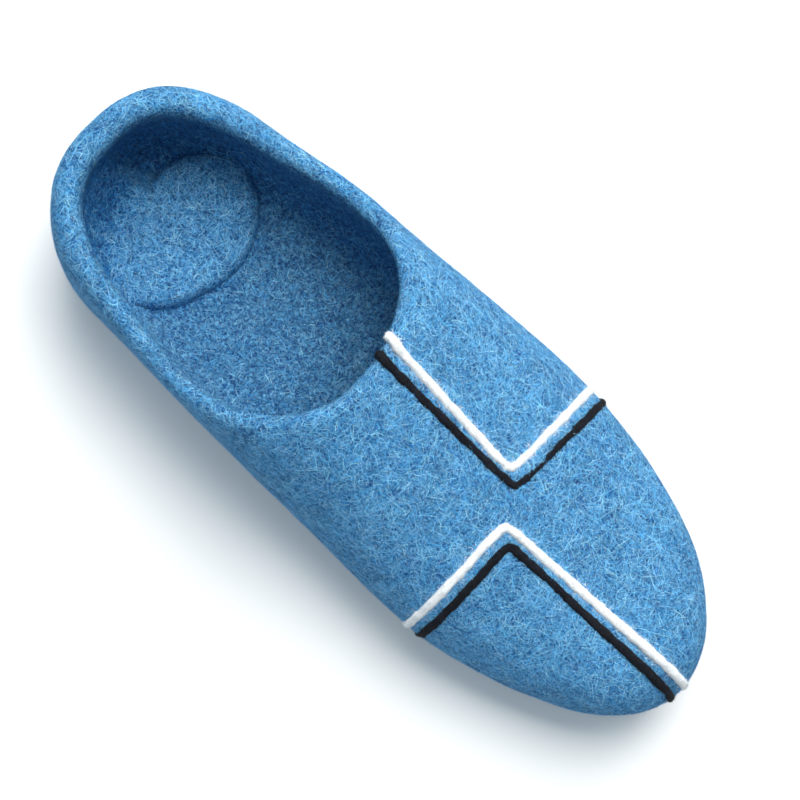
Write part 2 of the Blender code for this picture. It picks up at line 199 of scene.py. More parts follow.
# Their colours, and how often each is drawn
BLUE_HAIR = ((4, FELT_LIGHT), (2, FELT_BASE), (2.5, FELT_HAIR), (1.5, FELT_DARK))
WHITE_HAIR = ((4, WHITE), (1, WHITE_SHADE))
BLACK_HAIR = ((3, BLACK_SHADE), (2, BLACK))
# How far fibres lean along the foot on each surface, and how freely they lie
LEAN_OUTSIDE, LEAN_INSIDE, LEAN_PAD, LEAN_BESIDE = 0.6, 0.3, 0.2, 0.0
FREE_RISE = 0.4
FLAT_FORWARD = 0.35
YARN_SPREAD = 1.1
YARN_NEAR = 7 * MM
# Clouds of more and fewer fibres outside: mean, swing, least, size and seed
CLOUD_MEAN, CLOUD_SWING, CLOUD_LEAST = 0.9, 0.8, 0.15
CLOUD_SIZE, CLOUD_SEED = 7 * MM, 21
# Faces that look down more than this bear no fibres
SHOWN = -0.6
# The pad bears fewer fibres over this height, and none where it is less than this clear of the felt
PAD_FIBRES_UNDER = 17 * MM
PAD_FIBRES_ABOVE = 0.3
PAD_CLEAR = 0.1 * MM
# Yarn bears fibres where it stands this clear of the felt and doesn't face it
YARN_CLEAR = 0.25 * MM
YARN_FACING = -0.2
# Felt is beside a stripe up to this distance, and looked for in a box this much larger than it
BESIDE_REACH = 1.3 * MM
BESIDE_BOX = 4 * MM
# A fibre follows the surface below it only where that looks the fibre's own way by this much
SAME_SIDE = 0.2
# The line through the foot's room, for telling inside from outside: height, ends left out, parts
ROOM_HEIGHT = 26 * MM
ROOM_ENDS = 30 * MM
ROOM_PARTS = 40


class Nodes:
    """Short ways to add shader nodes to one material."""

    def __init__(self, name):
        self.material = bpy.data.materials.new(name)
        self.material.use_nodes = True
        self.tree = self.material.node_tree
        self.place = self.add("ShaderNodeTexCoord").outputs["Object"]

    def add(self, kind):
        """A new node."""
        return self.tree.nodes.new(kind)

    def fill(self, node, values):
        """Sets inputs of a node, by name or number, to outputs, colours, vectors or numbers."""
        for key, value in values.items():
            socket = node.inputs[key]
            if isinstance(value, bpy.types.NodeSocket):
                self.tree.links.new(value, socket)
            elif socket.type == "RGBA":
                socket.default_value = (*value, 1.0)
            else:
                socket.default_value = value

    def finish(self, values):
        """Sets inputs of the material's own shader, and gives the material back."""
        self.fill(self.tree.nodes["Principled BSDF"], values)
        return self.material

    def scaled(self, scale, turn=(0, 0, 0)):
        """Object coordinates, scaled and turned."""
        made = self.add("ShaderNodeMapping")
        self.fill(made, {"Scale": scale, "Rotation": turn, "Vector": self.place})
        return made.outputs["Vector"]

    def noise(self, vector, scale, detail, roughness=0.5, distortion=0.0):
        """Noise from 0 to 1 with so many lumps to the metre."""
        made = self.add("ShaderNodeTexNoise")
        values = {"Vector": vector, "Scale": scale, "Detail": detail}
        self.fill(made, {**values, "Roughness": roughness, "Distortion": distortion})
        return made.outputs["Fac"]

    def math(self, operation, *values):
        """A sum, product or the like of one or two values."""
        made = self.add("ShaderNodeMath")
        made.operation = operation
        self.fill(made, dict(enumerate(values)))
        return made.outputs["Value"]

    def ramp(self, value, low, high, to_low=0.0, to_high=1.0):
        """A value from low to high, eased to go from to_low to to_high."""
        made = self.add("ShaderNodeMapRange")
        made.interpolation_type = "SMOOTHSTEP"
        values = {"Value": value, "From Min": low, "From Max": high}
        self.fill(made, {**values, "To Min": to_low, "To Max": to_high})
        return made.outputs["Result"]

    def mix(self, share, a, b, blend="MIX"):
        """Colour a with a share of colour b over it."""
        made = self.add("ShaderNodeMix")
        made.data_type = "RGBA"
        made.blend_type = blend
        self.fill(made, {0: share, 6: a, 7: b})
        return made.outputs[2]

    def threads(self, stretch, turn, scale, width, detail, distortion):
        """Thin curling lines, where a noise passes its middle value."""
        field = self.noise(self.scaled(stretch, turn), scale, detail, 0.5, distortion)
        away = self.math("ABSOLUTE", self.math("SUBTRACT", field, 0.5))
        return self.ramp(away, 0.0, width, 1.0, 0.0)

    def shares(self, name):
        """A value from 0 to 1 that the mesh keeps at each point."""
        made = self.add("ShaderNodeAttribute")
        made.attribute_name = name
        return made.outputs["Fac"]

    def bump(self, height, distance, strength):
        """The surface's normal, as if it rose with the height."""
        made = self.add("ShaderNodeBump")
        self.fill(made, {"Height": height, "Distance": distance, "Strength": strength})
        return made.outputs["Normal"]


def tinted(factor, colour):
    """A colour, lighter or darker by a factor."""
    return tuple(factor * c for c in colour)


def felt_material(name, base, streak):
    """Wet-felted wool: mottled, with matted curling fibres that lean along the foot."""
    n = Nodes(name)
    even = n.scaled((1, 1, 1))
    wide = n.noise(even, 32, 3.0, 0.55, 0.3)
    mottle = n.noise(n.scaled((1, 0.8, 1)), 420, 4.0, 0.66, 0.5)
    grain = n.noise(even, 1450, 3.0, 0.7, 0.2)
    pits = n.noise(even, 760, 3.0, 0.6, 0.4)
    along = n.threads((1, 0.26, 1), (0, 0, 0.25), 1150, 0.100, 1.5, 0.9)
    across = n.threads((0.30, 1, 1), (0.5, 0.3, 0.9), 1050, 0.090, 1.5, 1.1)
    curl = n.threads((1, 0.6, 1), (1.1, 0.4, 0.2), 900, 0.085, 1.5, 1.4)
    deep = n.threads((0.9, 0.5, 1), (0.2, 0.9, 1.7), 780, 0.090, 2.0, 1.0)
    bright = n.threads((0.8, 0.42, 1), (0.7, 0.2, 0.6), 420, 0.030, 1.0, 1.5)
    lines = n.math("MAXIMUM", n.math("MULTIPLY", along, streak), n.math("MAXIMUM", across, curl))
    patches = n.ramp(n.noise(even, 260, 2.0), 0.36, 0.60, 0.40, 1.0)

    colour = n.mix(n.ramp(wide, 0.34, 0.66), tinted(0.80, base), tinted(1.02, base))
    colour = n.mix(n.ramp(mottle, 0.36, 0.54, 0.90, 0.0), colour, FELT_DARK)
    colour = n.mix(n.ramp(mottle, 0.50, 0.66, 0.0, 0.60), colour, FELT_LIGHT)
    colour = n.mix(n.math("MULTIPLY", deep, 0.70), colour, FELT_DARK)
    colour = n.mix(n.math("MULTIPLY", lines, patches), colour, FELT_LIGHT)
    colour = n.mix(n.math("MULTIPLY", bright, 0.55), colour, FELT_HAIR)
    colour = n.mix(n.ramp(grain, 0.38, 0.50, 0.95, 0.0), colour, FELT_DARK)
    colour = n.mix(n.ramp(grain, 0.52, 0.64, 0.0, 0.60), colour, FELT_LIGHT)
    colour = n.mix(n.ramp(pits, 0.36, 0.46, 0.60, 0.0), colour, FELT_DARK)
    colour = n.mix(n.ramp(pits, 0.55, 0.64, 0.0, 0.45), colour, FELT_HAIR)
    # Painted shade: darker and bluer by the share of it that the mesh keeps, inside the heel, in the
    # pad's hollow and along its crease
    colour = n.mix(n.shares("deep"), colour, PAINTED_SHADE_TINT, "MULTIPLY")

    height = n.math("ADD", n.math("MULTIPLY", mottle, 1.5), n.math("MULTIPLY", lines, 0.45))
    height = n.math("ADD", height, n.math("MULTIPLY", grain, 0.60))
    height = n.math("SUBTRACT", height, n.math("MULTIPLY", deep, 0.35))
    return n.finish({
        "Base Color": colour,
        "Normal": n.bump(height, 1.5 * MM, 1.0),
        "Roughness": n.ramp(grain, 0.2, 0.8, 0.86, 1.0),
        "Specular IOR Level": 0.12,
        "Sheen Weight": 0.08,
        "Sheen Roughness": 0.5,
        "Sheen Tint": FELT_SHEEN,
    })


def yarn_material(name, base, shade):
    """Felted yarn: short matted fibres along the cord, soft and dull."""
    n = Nodes(name)
    even = n.scaled((1, 1, 1))
    fine = n.noise(even, 900, 4.0, 0.6, 0.8)
    lines = n.threads((1, 1, 1), (0.4, 0.7, 0.2), 800, 0.05, 2.0, 1.4)
    clump = n.noise(even, 260, 3.0, 0.6, 0.5)
    colour = n.mix(n.ramp(clump, 0.35, 0.62, 0.75, 0.0), base, shade)
    colour = n.mix(n.math("MULTIPLY", lines, 0.35), colour, shade)
    height = n.math("ADD", fine, n.math("MULTIPLY", clump, 0.8))
    height = n.math("SUBTRACT", height, n.math("MULTIPLY", lines, 0.3))
    return n.finish({
        "Base Color": colour,
        "Normal": n.bump(height, 0.5 * MM, 0.9),
        "Roughness": 0.95,
        "Specular IOR Level": 0.10,
        "Sheen Weight": 0.04,
    })


def suede_material(name, base, dark):
    """Brushed suede: short nap, brushed patches and a little wear."""
    n = Nodes(name)
    even = n.scaled((1, 1, 1))
    brushed = n.noise(n.scaled((1, 0.45, 1), (0, 0, 0.2)), 60, 4.0, 0.6, 1.2)
    nap = n.noise(even, 2200, 3.0, 0.7, 0.2)
    pits = n.noise(even, 700, 4.0, 0.6, 0.0)
    colour = n.mix(n.ramp(brushed, 0.30, 0.70), tinted(0.80, base), tinted(1.25, base))
    colour = n.mix(n.ramp(pits, 0.28, 0.48, 0.55, 0.0), colour, dark)
    colour = n.mix(n.ramp(nap, 0.3, 0.6, 0.30, 0.0), colour, dark)
    height = n.math("ADD", nap, n.math("MULTIPLY", pits, 0.9))
    return n.finish({
        "Base Color": colour,
        "Normal": n.bump(height, 0.22 * MM, 0.8),
        "Roughness": n.ramp(brushed, 0.3, 0.7, 0.82, 0.98),
        "Specular IOR Level": 0.2,
        "Sheen Weight": 0.25,
    })


def hair_material(name):
    """Loose wool fibres, each in its own shade."""
    n = Nodes(name)
    shade = n.add("ShaderNodeVertexColor")
    shade.layer_name = "shade"
    colour = shade.outputs["Color"]
    return n.finish({"Base Color": colour, "Roughness": 0.85, "Specular IOR Level": 0.2})


def place(name, data):
    """A new object in the scene."""
    made = bpy.data.objects.new(name, data)
    bpy.context.scene.collection.objects.link(made)
    return made


def own(name, mesh, material, slot, *nodes):
    """A piece of the object: linked, smooth, riding on the body, in place of CAD nodes."""
    made = place(name, mesh)
    mesh.materials.clear()
    mesh.materials.append(material)
    mesh.shade_smooth()
    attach(made, "root")
    if nodes:
        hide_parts(*nodes)
    return made


def smooth_mesh(node, levels):
    """A CAD node's form on a fine mesh, through the same sections."""
    form = bmesh.new()
    form.from_mesh(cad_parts[node].data)
    bmesh.ops.remove_doubles(form, verts=form.verts, dist=WELD)
    bmesh.ops.join_triangles(
        form,
        faces=form.faces,
        angle_face_threshold=JOIN_FACES,
        angle_shape_threshold=JOIN_SHAPES,
    )
    mesh = bpy.data.meshes.new(node + "_fine")
    form.to_mesh(mesh)
    form.free()
    helper = place(node + "_helper", mesh)
    finer = helper.modifiers.new("finer", "SUBSURF")
    finer.levels = levels
    finer.render_levels = levels
    graph = bpy.context.evaluated_depsgraph_get()
    fine = bpy.data.meshes.new_from_object(helper.evaluated_get(graph))
    bpy.data.objects.remove(helper)
    return fine


def points_of(mesh):
    """The places of a mesh's points."""
    places = np.empty(len(mesh.vertices) * 3, np.float32)
    mesh.vertices.foreach_get("co", places)
    return places.reshape(-1, 3).astype(np.float64)


def normals_of(mesh):
    """The normals at a mesh's points."""
    ways = np.empty(len(mesh.vertices) * 3, np.float32)
    mesh.vertex_normals.foreach_get("vector", ways)
    return ways.reshape(-1, 3).astype(np.float64)


def set_points(mesh, places):
    """Puts a mesh's points at other places."""
    mesh.vertices.foreach_set("co", places.astype(np.float32).ravel())
    mesh.update()


def move_out(mesh, amounts):
    """Moves each point of a mesh outward by its own amount."""
    set_points(mesh, points_of(mesh) + normals_of(mesh) * amounts[:, None])


def keep_colours(mesh, name, colours):
    """Keeps a colour at each point of a mesh, with a 1 added to its three values."""
    colours = np.concatenate([colours, np.ones((len(colours), 1))], axis=1)
    layer = mesh.color_attributes.new(name, "FLOAT_COLOR", "POINT")
    layer.data.foreach_set("color", np.clip(colours, 0, 1).astype(np.float32).ravel())


def paint_shade(mesh, shares):
    """Keeps at each point how much painted shade darkens the felt's colour there, where shade falls
    inside the heel.
    """
    keep_colours(mesh, "deep", np.stack([shares, shares, shares], axis=1))


def lumps(places, size, seed):
    """Smooth noise from -1 to 1 at the places, with lumps of about that size."""
    away = Vector((seed * 7.31, seed * 3.17, seed * 5.53))
    return np.array([noise.noise(Vector(p) / size + away) for p in places])


def relief(places, rows, start=0):
    """Unevenness in millimetres at the places: lumps of several sizes, added up."""
    return sum((height * lumps(places, size * MM, seed) for height, size, seed in rows), start)


def felt_relief(mesh, strength):
    """Hand-felted unevenness, from broad hollows down to matted tufts."""
    places = points_of(mesh)
    amounts = relief(places, FELT_HOLLOWS) + relief(places, FELT_TUFTS)
    move_out(mesh, amounts * MM * strength)


def ease(share):
    """A share from 0 to 1 with a soft start and end."""
    return share * share * (3 - 2 * share)


def band(low, high, count):
    """Faces between two rings of points, which start at the numbers low and high."""
    turns = [(k, (k + 1) % count) for k in range(count)]
    return [(low + k, low + after, high + after, high + k) for k, after in turns]


class Surface:
    """Triangles of one or more meshes, to scatter fibres over and lay them on."""

    def __init__(self, *meshes):
        corners, ways, faces = [], [], []
        start = 0
        for mesh in meshes:
            mesh.calc_loop_triangles()
            found = np.empty(len(mesh.loop_triangles) * 3, np.int32)
            mesh.loop_triangles.foreach_get("vertices", found)
            faces.append(found.reshape(-1, 3) + start)
            corners.append(points_of(mesh))
            ways.append(normals_of(mesh))
            start += len(mesh.vertices)
        self.points = np.concatenate(corners)
        self.ways = np.concatenate(ways)
        self.faces = np.concatenate(faces)
        self.tree = BVHTree.FromPolygons(self.points.tolist(), self.faces.tolist())
        a, b, c = (self.points[self.faces[:, i]] for i in range(3))
        self.areas = np.linalg.norm(np.cross(b - a, c - a), axis=1) / 2
        self.centres = (a + b + c) / 3
        self.outward = self.ways[self.faces].mean(axis=1)

    def scatter(self, count, random, keep):
        """Random places and directions, even by area times keep, which has a value per face."""
        weights = self.areas * keep
        picked = random.choice(len(self.faces), size=count, p=weights / weights.sum())
        share = np.sqrt(random.random((count, 1)))
        other = random.random((count, 1))
        corners = self.faces[picked]
        parts = (1 - share, share * (1 - other), share * other)
        places = sum(w * self.points[corners[:, i]] for i, w in enumerate(parts))
        ways = sum(w * self.ways[corners[:, i]] for i, w in enumerate(parts))
        return places, ways / np.linalg.norm(ways, axis=1, keepdims=True)


def unit(ways):
    """Directions brought to length 1."""
    return ways / (np.linalg.norm(ways, axis=1, keepdims=True) + TINY)


def ribbons(name, stacked):
    """A mesh of flat ribbons from the left and right points of all of them, step by step."""
    points = np.stack(stacked, axis=1)
    count, each = points.shape[:2]
    quads = [[i, i + 1, i + 3, i + 2] for i in range(0, each - 2, 2)]
    faces = (np.arange(count)[:, None, None] * each + np.array(quads)[None]).reshape(-1, 4)
    mesh = bpy.data.meshes.new(name)
    mesh.vertices.add(count * each)
    mesh.vertices.foreach_set("co", points.astype(np.float32).ravel())
    mesh.loops.add(len(faces) * 4)
    mesh.loops.foreach_set("vertex_index", faces.astype(np.int32).ravel())
    mesh.polygons.add(len(faces))
    mesh.polygons.foreach_set("loop_start", np.arange(0, len(faces) * 4, 4, dtype=np.int32))
    mesh.update(calc_edges=True)
    return mesh


def fibres(name, slot, surface, roots, heading, kind, hair, random):
    """Loose fibres of one kind, as thin flat ribbons that lie on a surface and curl."""
    places, ways = roots
    count = len(places)
    length = random.uniform(*kind.length, count)
    turn = random.normal(0, kind.curl, count)
    wander = random.normal(0, kind.curl * FIBRE_WANDER, (count, kind.steps))
    low = random.uniform(*kind.lie, count)
    rise = np.minimum(random.exponential(kind.rise, count), kind.most_rise)
    flat = unit(heading - ways * (heading * ways).sum(axis=1, keepdims=True))
    side = np.cross(ways, flat)
    angle = np.zeros(count)
    spot = places.copy()
    rows = []
    for i in range(kind.steps + 1):
        found = [surface.tree.find_nearest(p)[:2] for p in spot.tolist()]
        ground, up = (np.array(part) for part in zip(*found))
        up = np.where((up * ways).sum(axis=1, keepdims=True) > SAME_SIDE, up, ways)
        height = low + rise * (2 * i / kind.steps - 1) ** 2
        ahead = flat * np.cos(angle)[:, None] + side * np.sin(angle)[:, None]
        rows.append((ground + up * height[:, None], unit(np.cross(up, ahead))))
        if i < kind.steps:
            angle = angle + turn / kind.steps + wander[:, i]
            step = flat * np.cos(angle)[:, None] + side * np.sin(angle)[:, None]
            spot = ground + step * (length / kind.steps)[:, None]
    width = random.uniform(*FIBRE_WIDTH, count)
    stacked = []
    for i, (middle, aside) in enumerate(rows):
        taper = FIBRE_TIP if i in (0, kind.steps) else 1.0
        half = aside * (width * taper / 2)[:, None]
        stacked += [middle - half, middle + half]
    mesh = ribbons(name, stacked)
    odds = np.array([odd for odd, _ in hair], float)
    shades = np.array([shade for _, shade in hair])
    picked = random.choice(len(shades), size=count, p=odds / odds.sum())
    colours = shades[picked] * random.uniform(*FIBRE_BRIGHTNESS, (count, 1))
    keep_colours(mesh, "shade", np.repeat(colours, len(stacked), axis=0))
    own(name, mesh, HAIR, slot)


def headings(ways, random, lean):
    """Headings over the felt: along the foot on the walls, any way on flat ground."""
    count = len(ways)
    free = random.uniform(0, 2 * math.pi, count)
    rise = random.normal(0, FREE_RISE, count)
    heading = np.stack([np.cos(free), np.sin(free), rise], axis=1)
    steep = 1 - np.abs(ways[:, 2:3])
    forward = np.array([[0.0, 1.0, 0.0]]) * np.sign(random.random((count, 1)) - 0.5)
    return heading * (1 - lean * steep) + forward * lean * (FLAT_FORWARD + steep)


def run_of(cord, places, random):
    """Headings along a cord near each place, with a loose spread to both sides."""
    heading = []
    for spot in places:
        near = cord.points[np.abs(cord.points - spot).sum(axis=1) < YARN_NEAR]
        spread = near - near.mean(axis=0)
        heading.append(np.linalg.svd(spread, full_matrices=False)[2][0])
    heading = np.array(heading) * np.sign(random.random((len(places), 1)) - 0.5)
    return heading + random.normal(0, YARN_SPREAD, heading.shape)


def is_outside(surface):
    """1 on faces that look away from the middle of the foot's room, 0 on faces that look in."""
    along = surface.points[:, 1]
    edges = np.linspace(along.min(), along.max(), ROOM_PARTS + 1)
    middles = (edges[1:] + edges[:-1]) / 2
    across = []
    for low, high in zip(edges[:-1], edges[1:]):
        found = surface.points[(along >= low) & (along <= high), 0]
        across.append((found.min() + found.max()) / 2)
    kept = np.clip(surface.centres[:, 1], along.min() + ROOM_ENDS, along.max() - ROOM_ENDS)
    height = np.full(len(kept), ROOM_HEIGHT)
    axis = np.stack([np.interp(kept, middles, across), kept, height], axis=1)
    return (((surface.centres - axis) * surface.outward).sum(axis=1) > 0).astype(float)


def clear_of(ground, cover):
    """1 on faces of a surface that lie outside the felt, 0 on those sunk into it."""
    found = [ground.tree.find_nearest(p)[:2] for p in cover.centres.tolist()]
    near, way = (np.array(part) for part in zip(*found))
    return (((cover.centres - near) * way).sum(axis=1) > PAD_CLEAR) * 1.0


def beside(ground, cord):
    """1 on the felt's faces that lie close to a cord and show, 0 on the others."""
    kept = np.zeros(len(ground.faces))
    low, high = cord.points.min(axis=0) - BESIDE_BOX, cord.points.max(axis=0) + BESIDE_BOX
    inside = ((ground.centres > low) & (ground.centres < high)).all(axis=1)
    for i in np.nonzero(inside)[0]:
        away = cord.tree.find_nearest(Vector(ground.centres[i]))[3]
        kept[i] = float(away < BESIDE_REACH and ground.outward[i, 2] > SHOWN)
    return kept


def proud(cord, ground):
    """1 on faces of a cord that stand clear of the felt, 0 on its underside."""
    kept = []
    for centre, outward in zip(cord.centres.tolist(), cord.outward):
        _, way, _, away = ground.tree.find_nearest(centre)
        kept.append(float(away > YARN_CLEAR and way.dot(outward) > YARN_FACING))
    return np.array(kept)


def table_at(rows, angles):
    """The other columns of a table that starts with angles in degrees, at some angles, in metres."""
    turns, *columns = (np.array(row) for row in zip(*rows))
    return [np.interp(angles, turns, column, period=360) * MM for column in columns]


def round_pad(places):
    """Angle in degrees and distance of each place from the pad's middle, seen from above."""
    aside = places[:, :2] - np.array(PAD_MIDDLE)
    return np.degrees(np.arctan2(aside[:, 0], aside[:, 1])), np.linalg.norm(aside, axis=1)


def past_lip(angle):
    """How far an angle is past the ends of the pad's free lip, in fades; below 0 it is on it."""
    turned = angle % 360
    after = (turned - PAD_EDGE[-1][0]) / PAD_FRONT_FADE
    before = (PAD_EDGE[0][0] + 360 - turned) / PAD_FADE
    return min(after, before)


def crease(places):
    """Where painted shade falls along the pad's crease: 1 at its free edge, seen from above, fading
    to 0 on both sides of it.
    """
    around, away = round_pad(places)
    (edge,) = table_at(PAD_EDGE, around)
    free = (around > PAD_EDGE[0][0]) & (around < PAD_EDGE[-1][0])
    return free * np.clip(1 - np.abs(away - edge) / CREASE_SHADE_WIDTH, 0, 1)


def upper_piece():
    """The felt shell, uneven by hand, with painted shade inside the heel and along the crease round
    the pad.
    """
    mesh = smooth_mesh("upper", 2)
    felt_relief(mesh, 1.0)
    places, ways = points_of(mesh), normals_of(mesh)
    # Painted shade on the inner faces of the walls, at the heel and along the outer side, below the
    # collar
    inward = -((places - INSIDE_MIDDLE) * ways)[:, :2].sum(axis=1)
    inside = np.clip(inward / INSIDE_REACH, 0, 1)
    under = (RIM_FROM - places[:, 2]) / (RIM_FROM - RIM_TO)
    heel = (SHADE_HEEL - places[:, 1]) / SHADE_FADE
    outer = (SHADE_SIDE - places[:, 0]) / SHADE_FADE
    where = np.clip(np.maximum(heel, outer), 0, 1)
    level = (places[:, 2] > FLOOR_FROM) & (places[:, 2] < FLOOR_TO)
    floor = (ways[:, 2] > FLOOR_FACING) & level
    # Painted shade: the walls' share, and on the felt bottom the crease's share round the pad
    wall = WALL_SHADE * inside * where * np.clip(under, 0, 1)
    paint_shade(mesh, wall + floor * crease(places))
    return own("felt_upper", mesh, FELT, "felt", "upper")


def reach_of(ground, centre, way, height):
    """How far it is from the pad's middle to just inside the wall's felt, at one height."""
    start = Vector((centre.x, centre.y, height))
    return (ground.tree.ray_cast(start, way)[0] - start).length + INTO_WALL


def pad_column(ground, centre, angle, floor, top):
    """Points from the pad's middle outward at one angle, over its lip or up the wall."""
    way = Vector((math.sin(math.radians(angle)), math.cos(math.radians(angle)), 0))
    past = past_lip(angle)
    free = ease(1 - max(0.0, min(1.0, past)))
    (edge,) = table_at(PAD_EDGE, angle)
    start, climb = table_at(PAD_HOLLOW, angle)
    wall = reach_of(ground, centre, way, top + WALL_LEVEL)
    far = reach_of(ground, centre, way, top + climb)
    edge, start = min(edge, wall), min(start, wall - WALL_GAP)
    skirt = min(wall - edge, max(PAD_SKIRT_LEAST, PAD_SKIRT * (1 + past)))
    column = []
    for i in range(PAD_RINGS + WALL_RINGS + 1):
        share = math.sin(min(1.0, i / PAD_RINGS) * math.pi / 2)
        away, over = share * edge, share * start
        drop = max(0.0, 1 - (edge - away) / PAD_LIP)
        rise = top + PAD_CROWN * (1 - share * share)
        height = rise - (rise - floor) * (1 - math.sqrt(1 - drop * drop))
        if i > PAD_RINGS:
            beyond = (i - PAD_RINGS) / WALL_RINGS
            away += skirt * beyond
            over += (far - start) * math.sin(beyond * math.pi / 2)
            rise += climb * (1 - math.cos(beyond * math.pi / 2))
        away = away * free + over * (1 - free)
        height = height * free + rise * (1 - free)
        column.append((centre.x + way.x * away, centre.y + way.y * away, height))
    return column


def pad_mesh(ground):
    """The pad as a closed mesh: rings of points round its middle, and a flat underside."""
    low, high = (np.array(c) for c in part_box("heel_pad"))
    floor, top = low[2] - PAD_SUNK, high[2]
    centre = Vector((*PAD_MIDDLE, 0))
    angles = [360 * k / PAD_COLUMNS - 180 for k in range(PAD_COLUMNS)]
    columns = [pad_column(ground, centre, angle, floor, top) for angle in angles]
    places = [columns[0][0]]
    for ring in list(zip(*columns))[1:]:
        places += ring
    faces = [(0, 1 + (k + 1) % PAD_COLUMNS, 1 + k) for k in range(PAD_COLUMNS)]
    under = len(places)
    for start in range(1, under - PAD_COLUMNS, PAD_COLUMNS):
        faces += band(start, start + PAD_COLUMNS, PAD_COLUMNS)
    places += [(x, y, floor - PAD_UNDERSIDE) for x, y, _ in places[-PAD_COLUMNS:]]
    places.append((centre.x, centre.y, floor - PAD_UNDERSIDE))
    for face in band(under - PAD_COLUMNS, under, PAD_COLUMNS):
        faces.append(face)
        faces.append((face[3], face[2], len(places) - 1))
    mesh = bpy.data.meshes.new("heel_pad_fine")
    mesh.from_pydata(places, [], faces)
    form = bmesh.new()
    form.from_mesh(mesh)
    bmesh.ops.recalc_face_normals(form, faces=form.faces)
    form.to_mesh(mesh)
    form.free()
    return mesh


def pad_piece(ground):
    """The heel's cushion: a soft lip in front, and behind it a hollow that runs up the wall."""
    mesh = pad_mesh(ground)
    felt_relief(mesh, PAD_RELIEF)
    places = points_of(mesh)
    # Painted shade: a little over the whole pad, more where it climbs the hollow, and along the
    # crease at its lip
    around, away = round_pad(places)
    start, _ = table_at(PAD_HOLLOW, around)
    past = (away - start) / HOLLOW_SHADE_FADE
    paint_shade(mesh, PAD_SHADE + np.maximum(past, 0) + crease(places))
    made = own("felt_heel_pad", mesh, PAD, "pad", "heel_pad")
    return made


def sink(mesh, ground):
    """Pulls the underside of a stripe into the felt that it is matted to."""
    places = points_of(mesh)
    for i, spot in enumerate(places):
        _, way, _, away = ground.tree.find_nearest(spot)
        share = max(0.0, 1 - away / STRIPE_REACH)
        places[i] -= np.array(way) * STRIPE_SUNK * ease(share)
    set_points(mesh, places)


def stripe_piece(node, material, slot, ground, plump):
    """One line of felted yarn, lumpy and sunk into the felt."""
    mesh = smooth_mesh(node, 2)
    sink(mesh, ground)
    move_out(mesh, relief(points_of(mesh), YARN_LUMPS, plump) * MM)
    return own("yarn_" + node[len("stripe_"):], mesh, material, slot, node)


def sole_piece():
    """The suede sole, slightly uneven, but nowhere below the floor."""
    mesh = smooth_mesh("sole", 2)
    move_out(mesh, relief(points_of(mesh), SUEDE_GRAIN) * MM)
    places = points_of(mesh)
    places[:, 2] = np.maximum(places[:, 2], 0)
    set_points(mesh, places)
    return own("suede_sole", mesh, SUEDE_FINISH, "suede", "sole")


def tube(path):
    """Points and faces of a round thread along a path, closed at both ends."""
    points, faces = [], []
    last = len(path) - 1
    for i, spot in enumerate(path):
        ahead = (path[min(i + 1, last)] - path[max(i - 1, 0)]).normalized()
        aside = ahead.cross(ASKEW).normalized()
        other = aside.cross(ahead)
        size = THREAD_RADIUS * (THREAD_END if i in (0, last) else 1.0)
        for k in range(THREAD_SIDES):
            turn = 2 * math.pi * k / THREAD_SIDES
            points.append(spot + (aside * math.cos(turn) + other * math.sin(turn)) * size)
    for i in range(last):
        faces += band(i * THREAD_SIDES, (i + 1) * THREAD_SIDES, THREAD_SIDES)
    faces.append(tuple(range(THREAD_SIDES)))
    faces.append(tuple(reversed(range(len(points) - THREAD_SIDES, len(points)))))
    return points, faces


def edge_of(sole):
    """Places in a ring round the sole's edge, and the directions outward there."""
    places, ways = points_of(sole.data), normals_of(sole.data)
    edge = np.abs(ways[:, 2]) < EDGE_FACING
    places, ways = places[edge], ways[edge]
    middle = (places.max(axis=0) + places.min(axis=0)) / 2
    turn = np.arctan2(places[:, 0] - middle[0], places[:, 1] - middle[1])
    order = np.argsort(turn)
    places, ways, turn = places[order], ways[order], turn[order]
    parts = np.linspace(-math.pi, math.pi, EDGE_PARTS + 1)
    ring, outs = [], []
    for low, high in zip(parts[:-1], parts[1:]):
        found = (turn >= low) & (turn < high)
        if found.any():
            ring.append(places[found].mean(axis=0))
            outs.append(ways[found].mean(axis=0))
    return np.array(ring), np.array(outs)


def stitches(sole):
    """Slanting whip stitches that hold the suede's edge to the felt, all round."""
    ring, outs = edge_of(sole)
    lengths = np.concatenate([[0], np.cumsum(np.linalg.norm(np.diff(ring, axis=0), axis=1))])
    points, faces = [], []
    for wanted in np.arange(0, lengths[-1] - STITCH_STEP / 2, STITCH_STEP):
        at = Vector([np.interp(wanted, lengths, ring[:, i]) for i in range(3)])
        out = Vector([np.interp(wanted, lengths, outs[:, i]) for i in range(3)])
        out = Vector((out.x, out.y, 0)).normalized()
        along = Vector((-out.y, out.x, 0))
        path = [at + out * a * MM + UP * b * MM + along * c * MM for a, b, c in STITCH_PATH]
        made, sides = tube(path)
        faces += [tuple(i + len(points) for i in face) for face in sides]
        points += made
    mesh = bpy.data.meshes.new("sole_stitches")
    mesh.from_pydata(points, [], faces)
    own("sole_stitches", mesh, THREAD, "suede")


